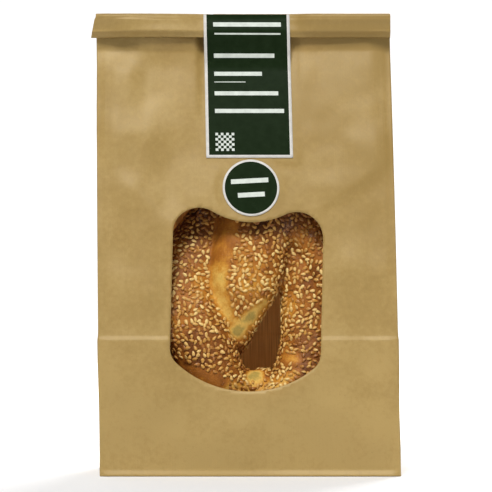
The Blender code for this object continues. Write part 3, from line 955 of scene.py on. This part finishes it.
def pressed(depth):
    """Flattens whatever of the dough would bulge through the window; the seeds sit on the flattened dough."""
    start = PRESS_LIMIT - PRESS_ROUNDING
    beyond = np.maximum(-depth - start, 0.0)
    return np.where(-depth > start, -start - PRESS_ROUNDING * (1 - np.exp(-beyond / PRESS_ROUNDING)), depth)


def strand_mesh():
    """The strand as a round tube, flattened and set behind the window."""
    points, radii = strand_path(STRAND_SECTIONS)
    curve = bpy.data.curves.new("strand", "CURVE")
    curve.dimensions = "3D"
    curve.bevel_depth = 1.0
    curve.bevel_resolution = 10
    spline = curve.splines.new("POLY")
    spline.points.add(len(points) - 1)
    spline.use_cyclic_u = True
    for place, centre, radius in zip(spline.points, points, radii):
        place.co = (*centre, 1.0)
        place.radius = radius
    guide = bpy.data.objects.new("strand", curve)
    bpy.context.scene.collection.objects.link(guide)
    mesh = bpy.data.meshes.new_from_object(guide)
    bpy.data.objects.remove(guide, do_unlink=True)
    bpy.data.curves.remove(curve)
    rough = read_points(mesh)
    rough[:, 0] += RING_CENTRE_X
    rough[:, 1] = pressed(rough[:, 1] * FLATTEN) + ring_setback(rough[:, 0], rough[:, 2])
    rough[:, 2] = np.maximum(rough[:, 2], SOLE_HEIGHT)
    write_points(mesh, rough)
    return mesh


def settled_mesh(mesh, steps):
    """The mesh after the given modifiers, as a new mesh."""
    helper = bpy.data.objects.new("helper", mesh)
    bpy.context.scene.collection.objects.link(helper)
    for kind, settings in steps:
        modifier = helper.modifiers.new(kind.lower(), kind)
        for key, value in settings.items():
            setattr(modifier, key, value)
    graph = bpy.context.evaluated_depsgraph_get()
    settled = bpy.data.meshes.new_from_object(helper.evaluated_get(graph))
    bpy.data.objects.remove(helper, do_unlink=True)
    bpy.data.meshes.remove(mesh)
    return settled


def read_normals(mesh):
    """The vertex normals as rows."""
    flat = np.empty(len(mesh.vertices) * 3)
    mesh.vertex_normals.foreach_get("vector", flat)
    return flat.reshape(-1, 3)


def trail_distance(points, trail):
    """Distance in the XZ plane beyond a trail of (x, z, half width) in mm."""
    x, z = points[:, 0], points[:, 2]
    best = np.full(len(points), 1.0)
    stops = [tuple(value / 1000 for value in stop) for stop in trail]
    for start, end in zip(stops, stops[1:] or stops):
        run = np.array([end[0] - start[0], end[1] - start[1]])
        length = max(run @ run, 1e-12)
        share = np.clip(((x - start[0]) * run[0] + (z - start[1]) * run[1]) / length, 0.0, 1.0)
        away = np.hypot(x - start[0] - share * run[0], z - start[1] - share * run[1])
        best = np.minimum(best, away - start[2] - share * (end[2] - start[2]))
    return best


def crevice(points):
    """1 where two passes of the strand meet, falling to 0 some way off."""
    path, radii = strand_path(STRAND_SECTIONS)
    flat = points.copy()
    flat[:, 0] -= RING_CENTRE_X
    flat[:, 1] = (flat[:, 1] - ring_setback(points[:, 0], points[:, 2])) / FLATTEN
    number = np.arange(STRAND_SECTIONS)
    near = np.empty(len(points))
    for start in range(0, len(points), 4000):
        block = flat[start:start + 4000]
        beyond = np.linalg.norm(block[:, None] - path[None], axis=2) - radii
        first = beyond.argmin(1)
        apart = np.abs(number[None] - first[:, None])
        apart = np.minimum(apart, STRAND_SECTIONS - apart)
        other = np.where(apart > STRAND_SECTIONS // 8, beyond, 1.0).min(1)
        near[start:start + 4000] = other - beyond.min(1)
    return smooth_step(near, 0.0024, 0.0004)


# Parts of the crust with a bake of their own: trails of (x, z, half width) in mm
ORANGE_BAND = [(-10.3, 148, 7.0), (-13.5, 133, 6.8), (-15.0, 124, 6.0)]
GOLDEN_BAND = [(-14.5, 122, 5.4), (-15.2, 115, 4.4), (-14.2, 107, 4.2), (-10.9, 99, 3.8), (-8.2, 93, 2)]
PALE_BAND = [(-3.6, 87, 5.2), (4.5, 95, 4.0), (12.5, 104, 1.8)]
PALE_SPOT = [(4, 59.4, 3.0), (9, 58.8, 3.2)]
FOOT_BAND = [(-38.5, 66, 4), (-28, 61, 4.5), (-14.5, 56, 4)]
GOLDEN_SPOT = [(25.5, 70, 2.4), (31, 69.5, 2.6)]
GOLDEN_FOOT = [(-10, 53, 3.5), (6, 52, 4), (20, 54, 4), (29, 60, 3)]     # under seeds
# painted shade: a dark spot where the gap between two passes lies in shadow
PAINTED_GAP_SHADE = [(-35.5, 67.5, 1.3), (-33, 67, 1.3)]
BARE_TRAILS = (ORANGE_BAND, GOLDEN_BAND, PALE_BAND, PALE_SPOT, FOOT_BAND, GOLDEN_SPOT)
# The bake of each, from 0 pale to 1 burnt, and the softness of its edge
TRAIL_BAKES = [(GOLDEN_FOOT, 0.18, 0.005), (ORANGE_BAND, 0.50, 0.003), (GOLDEN_BAND, 0.21, 0.003),
               (PALE_BAND, 0.05, 0.0035), (PALE_SPOT, 0.02, 0.002), (FOOT_BAND, 0.56, 0.002),
               (GOLDEN_SPOT, 0.36, 0.0025), (PAINTED_GAP_SHADE, 0.9, 0.001)]


def hole_sag(points):
    """How far the dough hangs down at the lower end of the ring's hole."""
    x, z = points[:, 0], points[:, 2]
    beside = np.exp(-((x - HOLE_X) / 0.0095) ** 2)
    return HOLE_SAG * beside * smooth_step(z, 0.050, 0.066) * smooth_step(z, 0.104, 0.080)


def crust_bake_and_shade(points, normals):
    """How dark each place is baked: uneven, and the trails' own, with painted shade darker at the top, under
    the window's top edge, and low down.
    """
    front = smooth_step(-normals[:, 1], -0.1, 0.3)
    bake_and_shade = 0.52 + 0.24 * noise_field(points, 0.024, 6) + 0.16 * noise_field(points, 0.008, 7)
    # painted shade: darker at the top, under the window's top edge, and low down
    bake_and_shade += 0.22 * smooth_step(points[:, 2], 0.138, 0.158) + 0.15 * smooth_step(points[:, 2], 0.095, 0.065)
    mottle = 0.12 * noise_field(points, 0.006, 8)
    for trail, tone, edge in TRAIL_BAKES:
        share = front * smooth_step(trail_distance(points, trail), edge, -edge)
        bake_and_shade = bake_and_shade * (1 - share) + share * (tone + mottle)
    return np.clip(bake_and_shade, 0.0, 1.0)


def build_crust():
    """The ring's skin, and how near each place is to where two passes meet."""
    mesh = settled_mesh(strand_mesh(), [
        ("REMESH", {"mode": "VOXEL", "voxel_size": CRUST_VOXEL}),
        ("SMOOTH", {"factor": 0.5, "iterations": 6})])
    mesh.name = "simit_crust"
    points, normals = read_points(mesh), read_normals(mesh)
    write_points(mesh, points + normals * lumps(points, DOUGH_LUMPS)[:, None])
    points = read_points(mesh)
    points[:, 2] -= hole_sag(points)
    write_points(mesh, points)
    points, normals = read_points(mesh), read_normals(mesh)
    write_attribute(mesh, "bake_and_shade", crust_bake_and_shade(points, normals))
    shade_smooth(mesh)
    add_piece(mesh, (crust_material(),), "simit")
    return mesh, crevice(points)


def seed_chance(points, normals, meeting):
    """How likely a seed sits at each place, from 0 to 1."""
    chance = 0.35 + 0.65 * smooth_step(-normals[:, 1], -0.5, 0.1)
    for trail in BARE_TRAILS:
        chance = chance * smooth_step(trail_distance(points, trail), -0.0006, 0.0012)
    return chance * (1 - meeting) * (points[:, 2] > 0.004)


def strew_seeds(mesh, meeting, rng):
    """Places and normals of seeds, spaced out over the crust."""
    points, normals = read_points(mesh), read_normals(mesh)
    order = rng.permutation(len(points))
    chance = seed_chance(points, normals, meeting)
    taken, cells = [], {}
    for index in order:
        if rng.random() > chance[index] ** 0.5:
            continue
        gap = SEED_SPACING * (0.85 + 0.5 * rng.random()) / max(chance[index], 0.2) ** 0.5
        point = points[index]
        home = tuple(int(v) for v in np.floor(point / (2 * SEED_SPACING)))
        near = [other for dx in (-1, 0, 1) for dy in (-1, 0, 1) for dz in (-1, 0, 1)
                for other in cells.get((home[0] + dx, home[1] + dy, home[2] + dz), ())]
        if all(((points[other] - point) ** 2).sum() > gap * gap for other in near):
            cells.setdefault(home, []).append(index)
            taken.append(index)
    return points[taken], normals[taken]


def seed_shape():
    """One seed: a flattened drop with its tip along +X."""
    shape = bmesh.new()
    bmesh.ops.create_uvsphere(shape, u_segments=8, v_segments=5, radius=0.5)
    bmesh.ops.rotate(shape, verts=shape.verts, matrix=Matrix.Rotation(math.pi / 2, 3, "Y"))
    for vertex in shape.verts:
        taper = 0.95 - 0.7 * vertex.co.x
        vertex.co.y *= taper
        vertex.co.z *= taper
    # each face starts at its lowest corner, so that the order is always the same
    faces = []
    for face in shape.faces:
        corners = [v.index for v in face.verts]
        first = corners.index(min(corners))
        faces.append(corners[first:] + corners[:first])
    places = np.array([v.co[:] for v in shape.verts])
    shape.free()
    return places, sorted(faces)


def seed_painted_shade(place):
    """Painted shade on the seeds: darker at the ring's top, from lower down at its right, and in a band low
    down.
    """
    x, _, z = place
    high = smooth_step(z + 0.012 * smooth_step(x, 0.028, 0.042), 0.136, 0.156)
    return 0.7 * high + 0.3 * smooth_step(z, 0.098, 0.076) * smooth_step(z, 0.058, 0.066)


def build_seeds(name, points, normals, material, rng):
    """All seeds of one kind as one piece, each turned and sized a little differently."""
    template, faces = seed_shape()
    size = len(template)
    all_points, all_faces, tones_with_shade = [], [], []
    for number, (point, normal) in enumerate(zip(points, normals)):
        tilted = Vector(normal) + Vector(rng.normal(0.0, 0.2, 3))
        spin = Matrix.Rotation(rng.uniform(0, 2 * math.pi), 3, "Z")
        turn = np.array(tilted.to_track_quat("Z", "X").to_matrix() @ spin)
        scale = np.array([SEED_LENGTH, SEED_WIDTH, SEED_THICKNESS]) * rng.normal(1.0, 0.07, 3)
        sunk = SEED_SINK + SEED_SIDE_SINK * smooth_step(abs(point[0]), 0.055, 0.059)
        centre = point + normal * SEED_THICKNESS * (0.5 - sunk)
        all_points.append((template * scale) @ turn.T + centre)
        all_faces += [[corner + number * size for corner in face] for face in faces]
        # each seed's own tone, times the painted shade
        tones_with_shade += [(0.35 + 0.65 * rng.random()) * (1 - seed_painted_shade(point))] * size
    mesh = bpy.data.meshes.new(name)
    mesh.from_pydata(np.concatenate(all_points).tolist(), [], all_faces)
    write_attribute(mesh, "tone", tones_with_shade)
    shade_smooth(mesh)
    add_piece(mesh, (material,))


# ---- stage, light and camera --------------------------------------------
def build_stage():
    """A white floor that sweeps up into a backdrop."""
    bend, back = 0.6, 2.6
    shape = bmesh.new()
    bmesh.ops.create_grid(shape, x_segments=1, y_segments=60, size=0.5)
    path = [(-3.0, 0.0), (back - bend, 0.0)]
    path += [(back - bend + bend * math.sin(a), bend - bend * math.cos(a))
             for a in np.linspace(0.0, math.pi / 2, 50)[1:]]
    path.append((back, 3.5))
    rows = np.linspace(0.0, 1.0, len(path))
    for vertex in shape.verts:
        share = vertex.co.y + 0.5
        vertex.co = (vertex.co.x * 8.0, float(np.interp(share, rows, [p[0] for p in path])),
                     float(np.interp(share, rows, [p[1] for p in path])))
    mesh = bpy.data.meshes.new("studio_sweep")
    shape.to_mesh(mesh)
    shape.free()
    shade_smooth(mesh)
    material, _, shader = start_material("studio white")
    fill_inputs(shader, {"Base Color": (0.8, 0.8, 0.8, 1.0), "Roughness": 0.9})
    mesh.materials.append(material)
    sweep = bpy.data.objects.new("studio_sweep", mesh)
    bpy.context.scene.collection.objects.link(sweep)


def add_lamp(name, kind, energy, turn, place=(0.0, 0.0, 0.0), **settings):
    """A lamp of the given kind, turned by a quaternion."""
    light = bpy.data.lights.new(name, kind)
    light.energy = energy
    for key, value in settings.items():
        setattr(light, key, value)
    lamp = bpy.data.objects.new(name, light)
    lamp.location = place
    lamp.rotation_euler = turn.to_euler()
    bpy.context.scene.collection.objects.link(lamp)


def build_light():
    """A soft key light from the front and above, a fill from behind and an even sky."""
    toward_key = Vector((-0.16, -0.75, 1.0))
    add_lamp("key light", "SUN", 1.02 * math.pi, toward_key.to_track_quat("Z", "Y"), angle=math.radians(20))
    fill_place = Vector((0.5, 1.4, 0.9))
    toward_bag = Vector((0.0, 0.0, BAG_HEIGHT / 2)) - fill_place
    add_lamp("back fill", "AREA", 30.0, toward_bag.to_track_quat("-Z", "Y"), fill_place,
             shape="SQUARE", size=0.8)
    world = bpy.data.worlds.new("soft white")
    world.use_nodes = True
    tree = world.node_tree
    seen = add_node(tree, "LightPath").outputs["Is Camera Ray"]
    fill_inputs(tree.nodes["Background"], {"Color": (1.0, 1.0, 1.0, 1.0),
                                           "Strength": map_range(tree, seen, 0.0, 1.0, 0.22, 1.0)})
    bpy.context.scene.world = world


def build_camera():
    """A long lens level with the bag's middle."""
    camera = bpy.data.cameras.new("camera")
    camera.lens = 207.4
    camera.sensor_width = 36.0
    view = bpy.data.objects.new("camera", camera)
    view.location = (0.00115, -1.73, 0.1375)
    view.rotation_euler = (math.pi / 2, 0.0, 0.0)
    bpy.context.scene.collection.objects.link(view)
    bpy.context.scene.camera = view


# ---- the whole ----------------------------------------------------------
bpy.context.scene.view_settings.view_transform = "Standard"
random = np.random.default_rng(7)
kraft = kraft_material("kraft paper", 0.28, 0.0)
build_bag_paper(kraft, kraft_material("kraft paper inside", 0.7, 0.35))
build_bag_base(kraft)
build_film()
prints = (print_material("dark green print", (0.0080, 0.0170, 0.0050), 0.42),
          print_material("white sticker paper", (0.60, 0.58, 0.54), 0.5),
          print_material("off-white print", (0.58, 0.62, 0.56), 0.5))
build_label(*prints)
build_sticker(*prints)
crust, meeting_places = build_crust()
seed_points, seed_normals = strew_seeds(crust, meeting_places, random)
toasted = random.random(len(seed_points)) < TOASTED_SHARE
pale_hulls = seed_material("pale sesame", shade(128, 80, 30), shade(188, 136, 60), shade(228, 196, 124))
brown_hulls = seed_material("toasted sesame", shade(98, 56, 20), shade(150, 94, 36), shade(198, 146, 70))
build_seeds("pale_seeds", seed_points[~toasted], seed_normals[~toasted], pale_hulls, random)
build_seeds("toasted_seeds", seed_points[toasted], seed_normals[toasted], brown_hulls, random)
build_stage()
build_light()
build_camera()
